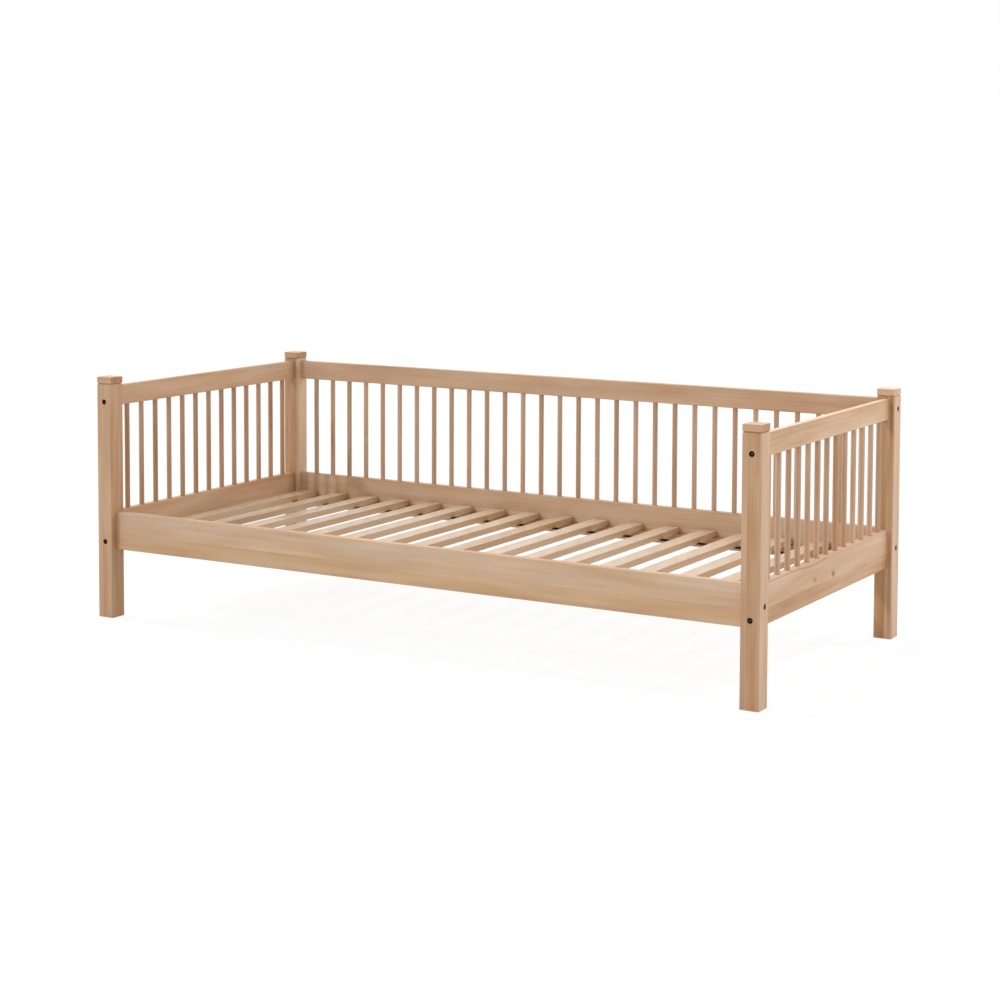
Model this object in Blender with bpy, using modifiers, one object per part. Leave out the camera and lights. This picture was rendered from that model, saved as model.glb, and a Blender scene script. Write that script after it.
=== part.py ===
"""Day bed in solid beech with three spindle sides, as a kit of parts.

Four square posts, each under a square cap, carry two end panels, a back panel
and a front rail. Each rail butts against a post and is drawn up by a black
socket bolt that runs through the post into a threaded sleeve in the end of the
rail, with a glued dowel beside it. The spindles are glued into the lower rails
and stand in blind sockets in the upper ones. Slats on two webbing straps lie
on ledger strips inside the front and back rails and lift out as one roll.

Metres, +Z up. The origin is on the floor under the middle of the bed, +X runs
along its length to the right and -Y is the open front.
"""

import math

import bmesh
import bpy
from mathutils import Matrix, Vector

# Overall sizes
LENGTH = 2.090
WIDTH = 0.970
HEIGHT = 0.704
POST = 0.052
CAP_HEIGHT = 0.020

# Rails
RAIL_THICKNESS = 0.020
RAIL_CLEAR = 0.200           # floor to the underside of the lower rails
LOWER_RAIL_HEIGHT = 0.110
TOP_RAIL_HEIGHT = 0.058
TOP_RAIL_DROP = 0.0075       # post top to top of the upper rails
LONG_RAIL_SET = 0.030        # front face of a post to the middle of a long rail

# Spindles
SPINDLE = 0.015
SPINDLE_SOCKET = 0.018       # depth of a socket in an upper rail
SPINDLE_ROOT = 0.004         # overlap of a spindle with the rail it is glued in
END_SPINDLES = 13
BACK_SPINDLES = 30
END_SPINDLE_MARGIN = 0.049   # post to the middle of the first spindle
BACK_SPINDLE_MARGIN = 0.055

# Slats, straps and ledgers
SLATS = 17
SLAT_WIDTH = 0.050
SLAT_THICKNESS = 0.018
SLAT_DROP = 0.055            # top of the lower rails to top of the slats
SLAT_MARGIN = 0.042          # post to the middle of the first slat
SLAT_END_GAP = 0.005
STRAP_WIDTH = 0.025
STRAP_THICKNESS = 0.0015
STRAP_SET = 0.120            # slat end to the middle of a strap
LEDGER_DEPTH = 0.025
LEDGER_HEIGHT = 0.025
LEDGER_END_GAP = 0.003

# Bolts, threaded sleeves and dowels
BOLT_HEAD = 0.014
BOLT_HEAD_HEIGHT = 0.004
BOLT_HEAD_RECESS = 0.0007
BOLT_SOCKET = 0.005          # across the flats of the hexagon
BOLT_SOCKET_DEPTH = 0.0025
BOLT_SHANK = 0.006
SLEEVE = 0.010
SLEEVE_LENGTH = 0.024
SLEEVE_SET = 0.002           # end of the rail to the start of the sleeve
DOWEL = 0.008
DOWEL_REACH = 0.016          # length of a dowel inside the post
DOWEL_ROOT = 0.002           # overlap of a dowel with the rail it is glued in
END_LOWER_BOLT_RISE = 0.023  # underside of an end rail to its bolt
END_TOP_BOLT_RISE = 0.0135
END_LOWER_DOWEL_RISE = 0.090
END_TOP_DOWEL_RISE = 0.0375
LONG_LOWER_DOWEL_RISE = 0.080
LONG_TOP_DOWEL_RISE = 0.0465

# Cap spigots
SPIGOT = 0.012
SPIGOT_LENGTH = 0.012

# Eased edges
POST_EASE = 0.002
POST_CHAMFER = 0.0025        # upper edges of a post, under its cap
CAP_CHAMFER = 0.003          # lower edges of a cap
CAP_EASE = 0.001
RAIL_EASE = 0.0015
SLAT_EASE = 0.004
LEDGER_EASE = 0.0015
EASE_STEPS = 2
CHAMFER_STEPS = 1

# Fits
SEAT = 0.0003                # between pieces that touch
HOLE_FIT = 0.0005            # all round a bolt in its hole
CUT_PAST = 0.001             # how far a cutter runs out of the wood

# Facets
SPINDLE_SIDES = 12
HOLE_SIDES = 8
BOLT_SIDES = 12
HEXAGON_SIDES = 6
SHARP_ANGLE = math.radians(40)
MERGE = 0.00001
PARALLEL = 0.99              # cosine above which two directions count as one

# Worked out from the sizes above
HALF_LENGTH = LENGTH / 2
HALF_WIDTH = WIDTH / 2
POST_TOP = HEIGHT - CAP_HEIGHT - SEAT
LOWER_RAIL_TOP = RAIL_CLEAR + LOWER_RAIL_HEIGHT
TOP_RAIL_BOTTOM = POST_TOP - TOP_RAIL_DROP - TOP_RAIL_HEIGHT
LONG_RAIL_LENGTH = LENGTH - 2 * POST - 2 * SEAT
END_RAIL_LENGTH = WIDTH - 2 * POST - 2 * SEAT
END_LINE = HALF_LENGTH - POST / 2
FRONT_LINE = -HALF_WIDTH + LONG_RAIL_SET
BACK_LINE = HALF_WIDTH - POST + LONG_RAIL_SET
SLAT_TOP = LOWER_RAIL_TOP - SLAT_DROP
SLAT_BOTTOM = SLAT_TOP - SLAT_THICKNESS
SLAT_FRONT = FRONT_LINE + RAIL_THICKNESS / 2 + SLAT_END_GAP
SLAT_BACK = BACK_LINE - RAIL_THICKNESS / 2 - SLAT_END_GAP
BOLT_SEAT = BOLT_HEAD_RECESS + BOLT_HEAD_HEIGHT
BOLT_END = POST + SEAT + SLEEVE_SET + SLEEVE_LENGTH

AXIS = {"X": Vector((1, 0, 0)), "Y": Vector((0, 1, 0)), "Z": Vector((0, 0, 1))}


def clear_scene():
    for obj in list(bpy.data.objects):
        bpy.data.objects.remove(obj, do_unlink=True)


def make_collection(name):
    collection = bpy.data.collections.new(name)
    bpy.context.scene.collection.children.link(collection)
    return collection


def make_material(name, color, roughness, metallic=0.0):
    material = bpy.data.materials.new(name)
    material.use_nodes = True
    shader = material.node_tree.nodes["Principled BSDF"]
    shader.inputs["Base Color"].default_value = (*color, 1.0)
    shader.inputs["Roughness"].default_value = roughness
    shader.inputs["Metallic"].default_value = metallic
    return material


def add_object(name, mesh, collection, material=None, location=(0, 0, 0)):
    obj = bpy.data.objects.new(name, mesh)
    obj.location = location
    collection.objects.link(obj)
    if material and not mesh.materials:
        mesh.materials.append(material)
    return obj


def mesh_from(bm, name):
    mesh = bpy.data.meshes.new(name)
    bm.to_mesh(mesh)
    bm.free()
    return mesh


def block(size):
    """A box of the given size about the origin."""
    bm = bmesh.new()
    bmesh.ops.create_cube(bm, size=1.0)
    bmesh.ops.scale(bm, vec=size, verts=bm.verts)
    return bm


def edges_along(bm, axis):
    return [e for e in bm.edges
            if abs((e.verts[1].co - e.verts[0].co).normalized().dot(AXIS[axis])) > PARALLEL]


def edges_round_face(bm, axis, sign):
    """The edges round the face that looks along the axis, or against it."""
    face = max(bm.faces, key=lambda f: f.normal.dot(AXIS[axis]) * sign)
    return list(face.edges)


def ease(bm, edges, width, steps=EASE_STEPS):
    bmesh.ops.bevel(bm, geom=edges, offset=width, segments=steps, profile=0.5,
                    affect="EDGES", clamp_overlap=True)


def add_rod(bm, start, end, diameter, sides):
    """A capped cylinder between two points."""
    start, end = Vector(start), Vector(end)
    run = end - start
    turn = run.to_track_quat("Z", "Y").to_matrix().to_4x4()
    place = Matrix.Translation((start + end) / 2) @ turn
    bmesh.ops.create_cone(bm, cap_ends=True, segments=sides, radius1=diameter / 2,
                          radius2=diameter / 2, depth=run.length, matrix=place)


def hole_diameter(diameter, fit, sides):
    """A faceted hole whose flats clear a round piece by the fit."""
    return (diameter + 2 * fit) / math.cos(math.pi / sides)


def boolean(obj, operation, bm, name):
    """Cut or join the rods in bm, which stay behind as a hidden wire object."""
    cutter = add_object(name, mesh_from(bm, name), cutters)
    cutter.hide_render = True
    cutter.display_type = "WIRE"
    modifier = obj.modifiers.new(operation.lower(), "BOOLEAN")
    modifier.operation = operation
    modifier.object = cutter


def spread(count, low, high):
    """Evenly spaced places from low to high."""
    return [low + (high - low) * i / max(count - 1, 1) for i in range(count)]


class Joint:
    """The end of a rail at a post: a bolt and a dowel that run along one axis."""

    def __init__(self, rail, post, axis, sign, line, bolt_z, dowel_z):
        self.rail = rail
        self.post = post
        self.outward = AXIS[axis] * sign
        across = AXIS["Y"] if axis == "X" else AXIS["X"]
        outside = HALF_LENGTH if axis == "X" else HALF_WIDTH
        self.face = self.outward * outside + across * line
        self.bolt_z = bolt_z
        self.dowel_z = dowel_z

    def at(self, depth, z):
        """A point at a depth in from the outer face of the post."""
        return self.face - self.outward * depth + AXIS["Z"] * z


def make_joints():
    lower_middle = RAIL_CLEAR + LOWER_RAIL_HEIGHT / 2
    top_middle = TOP_RAIL_BOTTOM + TOP_RAIL_HEIGHT / 2
    joints = []
    for side, sx in (("left", -1), ("right", 1)):
        for depth, sy in (("front", -1), ("back", 1)):
            post = f"{depth}_{side}_post"
            line = sx * END_LINE
            joints.append(Joint(f"{side}_end_lower_rail_with_spindles", post, "Y", sy, line,
                                RAIL_CLEAR + END_LOWER_BOLT_RISE,
                                RAIL_CLEAR + END_LOWER_DOWEL_RISE))
            joints.append(Joint(f"{side}_end_top_rail", post, "Y", sy, line,
                                TOP_RAIL_BOTTOM + END_TOP_BOLT_RISE,
                                TOP_RAIL_BOTTOM + END_TOP_DOWEL_RISE))
        long_dowel = RAIL_CLEAR + LONG_LOWER_DOWEL_RISE
        joints.append(Joint("front_rail", f"front_{side}_post", "X", sx, FRONT_LINE,
                            lower_middle, long_dowel))
        joints.append(Joint("back_lower_rail_with_spindles", f"back_{side}_post", "X", sx,
                            BACK_LINE, lower_middle, long_dowel))
        joints.append(Joint("back_top_rail", f"back_{side}_post", "X", sx, BACK_LINE,
                            top_middle, TOP_RAIL_BOTTOM + LONG_TOP_DOWEL_RISE))
    return joints


def make_posts(joints):
    """Square posts, bored for bolts from outside and for dowels and the cap from inside."""
    for side, sx in (("left", -1), ("right", 1)):
        for depth, sy in (("front", -1), ("back", 1)):
            name = f"{depth}_{side}_post"
            center = Vector((sx * END_LINE, sy * (HALF_WIDTH - POST / 2), POST_TOP / 2))
            bm = block((POST, POST, POST_TOP))
            ease(bm, edges_round_face(bm, "Z", 1), POST_CHAMFER, CHAMFER_STEPS)
            ease(bm, edges_along(bm, "Z"), POST_EASE)
            post = add_object(name, mesh_from(bm, name), parts, beech, center)

            wide = bmesh.new()
            narrow = bmesh.new()
            bolt_hole = hole_diameter(BOLT_SHANK, HOLE_FIT, HOLE_SIDES)
            head_hole = hole_diameter(BOLT_HEAD, HOLE_FIT, BOLT_SIDES)
            dowel_hole = hole_diameter(DOWEL, SEAT, HOLE_SIDES)
            for joint in [j for j in joints if j.post == name]:
                add_rod(wide, joint.at(-CUT_PAST, joint.bolt_z),
                        joint.at(BOLT_SEAT + SEAT, joint.bolt_z), head_hole, BOLT_SIDES)
                add_rod(wide, joint.at(POST + CUT_PAST, joint.dowel_z),
                        joint.at(POST - DOWEL_REACH - SEAT, joint.dowel_z), dowel_hole, HOLE_SIDES)
                add_rod(narrow, joint.at(-CUT_PAST, joint.bolt_z),
                        joint.at(POST + CUT_PAST, joint.bolt_z), bolt_hole, HOLE_SIDES)
            top = Vector((center.x, center.y, POST_TOP))
            add_rod(wide, top + AXIS["Z"] * CUT_PAST, top - AXIS["Z"] * (SPIGOT_LENGTH + SEAT),
                    hole_diameter(SPIGOT, SEAT, HOLE_SIDES), HOLE_SIDES)
            boolean(post, "DIFFERENCE", wide, f"{name}_counterbores")
            boolean(post, "DIFFERENCE", narrow, f"{name}_bolt_holes")


def make_caps():
    """Loose square caps, chamfered underneath, each on a round spigot."""
    for side, sx in (("left", -1), ("right", 1)):
        for depth, sy in (("front", -1), ("back", 1)):
            name = f"{depth}_{side}_cap"
            center = Vector((sx * END_LINE, sy * (HALF_WIDTH - POST / 2), HEIGHT - CAP_HEIGHT / 2))
            bm = block((POST, POST, CAP_HEIGHT))
            ease(bm, edges_round_face(bm, "Z", -1), CAP_CHAMFER, CHAMFER_STEPS)
            ease(bm, edges_round_face(bm, "Z", 1), CAP_EASE, CHAMFER_STEPS)
            cap = add_object(name, mesh_from(bm, name), parts, beech, center)
            spigot = bmesh.new()
            under = center - AXIS["Z"] * (CAP_HEIGHT / 2)
            add_rod(spigot, under + AXIS["Z"] * CUT_PAST,
                    under - AXIS["Z"] * (SPIGOT_LENGTH - SEAT), SPIGOT, HOLE_SIDES)
            boolean(cap, "UNION", spigot, f"{name}_spigot")


def make_rail(name, axis, center, height, joints, spindles=(), sockets=()):
    """A rail with eased long edges, dowels at its ends and bores for the bolts' sleeves.

    Spindles are rods that stand on the rail, and sockets are blind holes in its underside.
    """
    long_way = axis == "X"
    length = LONG_RAIL_LENGTH if long_way else END_RAIL_LENGTH
    size = (length, RAIL_THICKNESS, height) if long_way else (RAIL_THICKNESS, length, height)
    bm = block(size)
    ease(bm, edges_along(bm, axis), RAIL_EASE)
    rail = add_object(name, mesh_from(bm, name), parts, beech, center)

    added = bmesh.new()
    bored = bmesh.new()
    end = POST + SEAT
    sleeve_hole = hole_diameter(SLEEVE, SEAT, HOLE_SIDES)
    for joint in [j for j in joints if j.rail == name]:
        add_rod(added, joint.at(end + DOWEL_ROOT, joint.dowel_z),
                joint.at(POST - DOWEL_REACH, joint.dowel_z), DOWEL, HOLE_SIDES)
        add_rod(bored, joint.at(end - CUT_PAST, joint.bolt_z),
                joint.at(BOLT_END + SEAT, joint.bolt_z), sleeve_hole, HOLE_SIDES)
    rail_top = center[2] + height / 2
    rail_bottom = center[2] - height / 2
    spindle_top = TOP_RAIL_BOTTOM + SPINDLE_SOCKET - SEAT
    for x, y in spindles:
        add_rod(added, (x, y, rail_top - SPINDLE_ROOT), (x, y, spindle_top),
                SPINDLE, SPINDLE_SIDES)
    for x, y in sockets:
        add_rod(bored, (x, y, rail_bottom - CUT_PAST), (x, y, rail_bottom + SPINDLE_SOCKET),
                hole_diameter(SPINDLE, SEAT, SPINDLE_SIDES), SPINDLE_SIDES)
    boolean(rail, "UNION", added, f"{name}_dowels")
    boolean(rail, "DIFFERENCE", bored, f"{name}_bores")


def make_rails(joints):
    lower_z = RAIL_CLEAR + LOWER_RAIL_HEIGHT / 2
    top_z = TOP_RAIL_BOTTOM + TOP_RAIL_HEIGHT / 2
    reach = HALF_WIDTH - POST - END_SPINDLE_MARGIN
    for side, sx in (("left", -1), ("right", 1)):
        x = sx * END_LINE
        row = [(x, y) for y in spread(END_SPINDLES, -reach, reach)]
        make_rail(f"{side}_end_lower_rail_with_spindles", "Y", (x, 0, lower_z),
                  LOWER_RAIL_HEIGHT, joints, spindles=row)
        make_rail(f"{side}_end_top_rail", "Y", (x, 0, top_z), TOP_RAIL_HEIGHT, joints, sockets=row)
    reach = HALF_LENGTH - POST - BACK_SPINDLE_MARGIN
    row = [(x, BACK_LINE) for x in spread(BACK_SPINDLES, -reach, reach)]
    make_rail("back_lower_rail_with_spindles", "X", (0, BACK_LINE, lower_z),
              LOWER_RAIL_HEIGHT, joints, spindles=row)
    make_rail("back_top_rail", "X", (0, BACK_LINE, top_z), TOP_RAIL_HEIGHT, joints, sockets=row)
    make_rail("front_rail", "X", (0, FRONT_LINE, lower_z), LOWER_RAIL_HEIGHT, joints)


def make_bolt_mesh():
    """A turned bolt run into its threaded sleeve, with a hexagon socket in the head.

    The outer face of the post is at height 0, and the bolt points down.
    """
    sleeve_start = -(POST + SEAT + SLEEVE_SET)
    profile = [
        (0, -BOLT_HEAD_RECESS),
        (BOLT_HEAD / 2, -BOLT_HEAD_RECESS),
        (BOLT_HEAD / 2, -BOLT_SEAT),
        (BOLT_SHANK / 2, -BOLT_SEAT),
        (BOLT_SHANK / 2, sleeve_start),
        (SLEEVE / 2, sleeve_start),
        (SLEEVE / 2, -BOLT_END),
        (0, -BOLT_END),
    ]
    bm = bmesh.new()
    points = [bm.verts.new((x, 0, z)) for x, z in profile]
    for first, second in zip(points, points[1:]):
        bm.edges.new((first, second))
    turned = add_object("bolt_profile", mesh_from(bm, "bolt_profile"), cutters)
    screw = turned.modifiers.new("turn", "SCREW")
    screw.steps = BOLT_SIDES
    screw.render_steps = BOLT_SIDES
    screw.use_merge_vertices = True
    screw.merge_threshold = MERGE
    socket = bmesh.new()
    corner = hole_diameter(BOLT_SOCKET, 0, HEXAGON_SIDES)
    floor = -BOLT_HEAD_RECESS - BOLT_SOCKET_DEPTH
    add_rod(socket, (0, 0, CUT_PAST), (0, 0, floor), corner, HEXAGON_SIDES)
    boolean(turned, "DIFFERENCE", socket, "bolt_socket")
    graph = bpy.context.evaluated_depsgraph_get()
    mesh = bpy.data.meshes.new_from_object(turned.evaluated_get(graph))
    mesh.name = "bolt"
    for name in ("bolt_profile", "bolt_socket"):
        bpy.data.objects.remove(bpy.data.objects[name], do_unlink=True)
    mesh.shade_smooth()
    mesh.set_sharp_from_angle(angle=SHARP_ANGLE)
    return mesh


def make_bolts(joints):
    mesh = make_bolt_mesh()
    for joint in joints:
        rail = joint.rail.replace("_with_spindles", "")
        place = joint.post.replace("_post", "")
        bolt = add_object(f"bolt_{place}_{rail}", mesh, parts, black_steel, joint.at(0, joint.bolt_z))
        bolt.rotation_mode = "QUATERNION"
        bolt.rotation_quaternion = joint.outward.to_track_quat("Z", "Y")


def make_ledgers():
    """Strips along the inner faces of the long rails, which carry the ends of the slats."""
    length = LENGTH - 2 * POST - 2 * LEDGER_END_GAP
    z = SLAT_BOTTOM - SEAT - LEDGER_HEIGHT / 2
    off = RAIL_THICKNESS / 2 + SEAT + LEDGER_DEPTH / 2
    for name, y in (("front_ledger", FRONT_LINE + off), ("back_ledger", BACK_LINE - off)):
        bm = block((length, LEDGER_DEPTH, LEDGER_HEIGHT))
        ease(bm, edges_along(bm, "X"), LEDGER_EASE, CHAMFER_STEPS)
        add_object(name, mesh_from(bm, name), parts, beech, (0, y, z))


def make_slatted_base():
    """Slats joined by two straps under them. The empty they hang on lifts them out."""
    base = bpy.data.objects.new("slatted_base", None)
    base.location = (0, 0, SLAT_BOTTOM)
    parts.objects.link(base)
    middle = (SLAT_FRONT + SLAT_BACK) / 2
    bm = block((SLAT_WIDTH, SLAT_BACK - SLAT_FRONT, SLAT_THICKNESS))
    ease(bm, edges_along(bm, "Y"), SLAT_EASE)
    slat_mesh = mesh_from(bm, "slat")
    reach = HALF_LENGTH - POST - SLAT_MARGIN
    for number, x in enumerate(spread(SLATS, -reach, reach), start=1):
        place = (x, middle, SLAT_THICKNESS / 2)
        slat = add_object(f"slat_{number:02d}", slat_mesh, parts, pale_beech, place)
        slat.parent = base
    strap_length = 2 * reach + SLAT_WIDTH
    drop = -SEAT - STRAP_THICKNESS / 2
    for name, y in (("front_strap", SLAT_FRONT + STRAP_SET), ("back_strap", SLAT_BACK - STRAP_SET)):
        bm = block((strap_length, STRAP_WIDTH, STRAP_THICKNESS))
        strap = add_object(name, mesh_from(bm, name), parts, webbing, (0, y, drop))
        strap.parent = base


clear_scene()
parts = make_collection("day_bed")
cutters = make_collection("cutters")
beech = make_material("oiled beech", (0.55, 0.36, 0.22), 0.45)
pale_beech = make_material("planed beech slats", (0.68, 0.50, 0.34), 0.55)
black_steel = make_material("black zinc steel", (0.015, 0.013, 0.012), 0.35, 1.0)
webbing = make_material("black webbing", (0.012, 0.012, 0.012), 0.9)

rail_joints = make_joints()
make_posts(rail_joints)
make_caps()
make_rails(rail_joints)
make_bolts(rail_joints)
make_ledgers()
make_slatted_base()
print(f"{sum(1 for obj in parts.objects if obj.type == 'MESH')} pieces")
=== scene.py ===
# %% [markdown]
# # A day bed in solid beech
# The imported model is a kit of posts, caps, rails, spindles, slats, straps and bolts. It says where
# every piece goes and how big it is, but its faces are plain. In this lesson each piece is modelled
# again in the same place, with softened edges, real bores and a finish.

# %% Load the frame
import math
import random

import bmesh
import bpy
from mathutils import Matrix, Vector


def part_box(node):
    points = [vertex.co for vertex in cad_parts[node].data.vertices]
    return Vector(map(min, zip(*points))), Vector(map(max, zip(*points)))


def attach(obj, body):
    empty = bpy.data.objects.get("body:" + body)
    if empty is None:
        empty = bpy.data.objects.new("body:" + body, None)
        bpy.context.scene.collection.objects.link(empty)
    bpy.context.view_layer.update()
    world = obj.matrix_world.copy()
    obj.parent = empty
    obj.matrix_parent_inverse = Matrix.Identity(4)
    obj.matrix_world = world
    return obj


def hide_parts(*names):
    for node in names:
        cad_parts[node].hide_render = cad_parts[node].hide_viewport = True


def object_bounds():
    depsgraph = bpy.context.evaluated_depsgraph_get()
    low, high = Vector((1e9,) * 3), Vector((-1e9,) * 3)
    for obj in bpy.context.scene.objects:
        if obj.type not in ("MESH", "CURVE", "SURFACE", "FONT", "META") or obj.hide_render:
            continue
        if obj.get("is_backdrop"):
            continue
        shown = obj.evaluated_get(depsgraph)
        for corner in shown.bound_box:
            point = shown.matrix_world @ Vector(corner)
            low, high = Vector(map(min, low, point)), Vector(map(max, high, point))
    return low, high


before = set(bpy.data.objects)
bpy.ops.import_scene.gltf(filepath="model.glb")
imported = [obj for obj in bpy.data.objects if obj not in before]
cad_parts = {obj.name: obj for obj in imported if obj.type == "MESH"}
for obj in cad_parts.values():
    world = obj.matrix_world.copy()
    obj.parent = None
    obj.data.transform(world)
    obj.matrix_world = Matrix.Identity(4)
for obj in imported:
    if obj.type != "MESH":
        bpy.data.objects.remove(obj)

cad_low, cad_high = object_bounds()
bpy.ops.object.select_all(action="DESELECT")
print("frame:", len(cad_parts), "nodes,", [round(side, 3) for side in cad_high - cad_low], "m")

# %% [markdown]
# ## The camera
# The bed is seen from the right of its open front, a little above the rails, with a long lens. The
# posts stand nearly parallel in the picture, which a camera with a level back and a lowered lens
# gives. A small shift and a small tilt share that work, because the shift also moves other views.

# %% Camera
CAMERA_PLACE = Vector((3.104, -5.239, 1.358))
CAMERA_YAW = math.radians(30.433)
CAMERA_PITCH = math.radians(3.937)
CAMERA_ROLL = math.radians(0.202)
CAMERA_LENS = 77.28
CAMERA_SHIFT = -0.2

bpy.ops.object.camera_add()
camera = bpy.context.object
camera.name = "camera"
camera.data.lens = CAMERA_LENS
camera.data.shift_y = CAMERA_SHIFT
camera.matrix_world = (
    Matrix.Translation(CAMERA_PLACE)
    @ Matrix.Rotation(CAMERA_YAW, 4, "Z")
    @ Matrix.Rotation(math.pi / 2 - CAMERA_PITCH, 4, "X")
    @ Matrix.Rotation(CAMERA_ROLL, 4, "Z")
)
bpy.context.scene.camera = camera
print("camera:", camera.data.lens, "mm,", round(CAMERA_PLACE.length, 2), "m from the middle of the bed")

# %% [markdown]
# ## Nodes and colours
# Every material here is a small tree of nodes. One function adds a node, sets its options and its
# sockets and links what feeds it. A socket goes by its name, or by its number where a node has
# several of one name. Colours are written as a screen shows them and made linear once.

# %% Helpers for nodes
def linear(text):
    """The linear values of a colour that is written as a screen shows it."""
    parts = [int(text[i:i + 2], 16) / 255 for i in (1, 3, 5)]
    return (*[p / 12.92 if p <= 0.04045 else ((p + 0.055) / 1.055) ** 2.4 for p in parts], 1.0)


def add(tree, kind, values={}, links={}, **options):
    """Add one node with its options, its fixed values and the outputs that feed it."""
    node = tree.nodes.new(kind)
    for option, value in options.items():
        setattr(node, option, value)
    for socket, value in values.items():
        node.inputs[socket].default_value = value
    for socket, source in links.items():
        tree.links.new(source, node.inputs[socket])
    return node


print("mid grey is", round(linear("#808080")[0], 3), "in linear light")

# %% [markdown]
# ## The studio
# The bed stands in a white room. Half of its light comes evenly from the walls and some from the
# floor, so corners between boards turn dark and soft. The rest comes from two lamps at the left,
# a weaker one in front and one behind, and a softbox close to the right end. A sun with a wide disc
# is as soft as a big lamp and falls evenly over the whole floor; the small disc of the front lamp
# gives the sharper shadows. Rays that go straight to the eye, or by way of a polished face, see
# white. They see none of the suns, so that no edge burns out.

# %% World
WHITE = linear("#FFFFFF")
WALLS = 0.51


def seen_directly(tree):
    """An output that is 1 for rays from the eye, also by way of a polished or clear face."""
    path = add(tree, "ShaderNodeLightPath").outputs
    seen = path["Is Camera Ray"]
    for kind in ("Is Glossy Ray", "Is Transmission Ray"):
        seen = add(tree, "ShaderNodeMath", {}, {0: seen, 1: path[kind]}, operation="MAXIMUM").outputs[0]
    return seen


bpy.context.scene.view_settings.view_transform = "Standard"
world = bpy.data.worlds.new("white room")
bpy.context.scene.world = world
world.use_nodes = True
tree = world.node_tree
white = tree.nodes["Background"]
white.inputs["Color"].default_value = WHITE
walls = add(tree, "ShaderNodeBackground", {"Color": WHITE, "Strength": WALLS})
room = add(tree, "ShaderNodeMixShader", {}, {0: seen_directly(tree), 1: walls.outputs[0],
                                             2: white.outputs[0]})
tree.links.new(room.outputs[0], tree.nodes["World Output"].inputs["Surface"])
print("walls give", WALLS, "of white")

# %% Lamps
# Each level is what the lamp adds to a white card that faces it. The azimuth is 0 at the open front
# and 90 at the right end.
LAMPS = {
    "left": {"azimuth": -90, "elevation": 35, "level": 0.66, "spread": 20},
    "left back": {"azimuth": -120, "elevation": 50, "level": 0.35, "spread": 20},
    "front": {"azimuth": -33, "elevation": 38, "level": 0.23, "spread": 3},
    "back right": {"azimuth": 150, "elevation": 35, "level": 0.27, "spread": 20},
}
LAMP_DISTANCE = 4
SOFTBOX_PLACE = Vector((2.9, 0.4, 1.5))
SOFTBOX_AIM = Vector((1.0, 0.1, 0.5))
SOFTBOX_SIZE = 1.5
SOFTBOX_WATTS = 15.0

for name, lamp in LAMPS.items():
    turn, rise = math.radians(lamp["azimuth"]), math.radians(lamp["elevation"])
    towards = Matrix.Rotation(turn, 3, "Z") @ Vector((0, -math.cos(rise), math.sin(rise)))
    bpy.ops.object.light_add(type="SUN", location=towards * LAMP_DISTANCE,
                             rotation=towards.to_track_quat("Z", "Y").to_euler())
    sun = bpy.context.object
    sun.name = name
    sun.data.energy = lamp["level"] * math.pi
    sun.data.angle = math.radians(lamp["spread"])
    sun.visible_glossy = False
    print(name, "lamp at level", lamp["level"])

bpy.ops.object.light_add(type="AREA", location=SOFTBOX_PLACE,
                         rotation=(SOFTBOX_PLACE - SOFTBOX_AIM).to_track_quat("Z", "Y").to_euler())
softbox = bpy.context.object
softbox.name = "softbox"
softbox.data.energy = SOFTBOX_WATTS
softbox.data.size = SOFTBOX_SIZE
print("softbox of", SOFTBOX_WATTS, "watts at the right end")

# %% Floor
# The paper is white to the eye. Most of that is its own glow, so the shadow of the bed stays faint.
# What it throws up at the bed is weaker: a little glow and the light that a grey paper returns.
FLOOR_SIZE = 60
FLOOR_GLOW = 0.9
FLOOR_BOUNCE = linear("#A0A0A0")
FLOOR_LIGHT = 0.36

bpy.ops.mesh.primitive_plane_add(size=FLOOR_SIZE)
floor = bpy.context.object
floor.name = "floor"
paper = bpy.data.materials.new("white paper")
paper.use_nodes = True
tree = paper.node_tree
tree.nodes.remove(tree.nodes["Principled BSDF"])
lit = add(tree, "ShaderNodeBsdfDiffuse", {"Color": WHITE})
glow = add(tree, "ShaderNodeEmission", {"Color": WHITE, "Strength": 1})
shown = add(tree, "ShaderNodeMixShader", {0: FLOOR_GLOW}, {1: lit.outputs[0], 2: glow.outputs[0]})
grey = add(tree, "ShaderNodeBsdfDiffuse", {"Color": FLOOR_BOUNCE})
faint = add(tree, "ShaderNodeEmission", {"Color": WHITE, "Strength": FLOOR_LIGHT})
bounce = add(tree, "ShaderNodeAddShader", {}, {0: grey.outputs[0], 1: faint.outputs[0]})
both = add(tree, "ShaderNodeMixShader", {}, {0: seen_directly(tree), 1: bounce.outputs[0],
                                             2: shown.outputs[0]})
tree.links.new(both.outputs[0], tree.nodes["Material Output"].inputs["Surface"])
floor.data.materials.append(paper)
floor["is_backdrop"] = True
print("floor:", FLOOR_SIZE, "m of white paper")

# %% [markdown]
# ## Oiled beech
# Beech is a pale pinkish tan wood with quiet growth rings, fine fibres and short dark flecks. A
# picture pasted on each face would not meet at the edges. Here the pattern fills the solid: every
# corner of a face carries its place in the tree, in metres along the trunk, across it and out from
# its heart. The rings then run round the edges and show as arcs on the ends.

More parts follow.
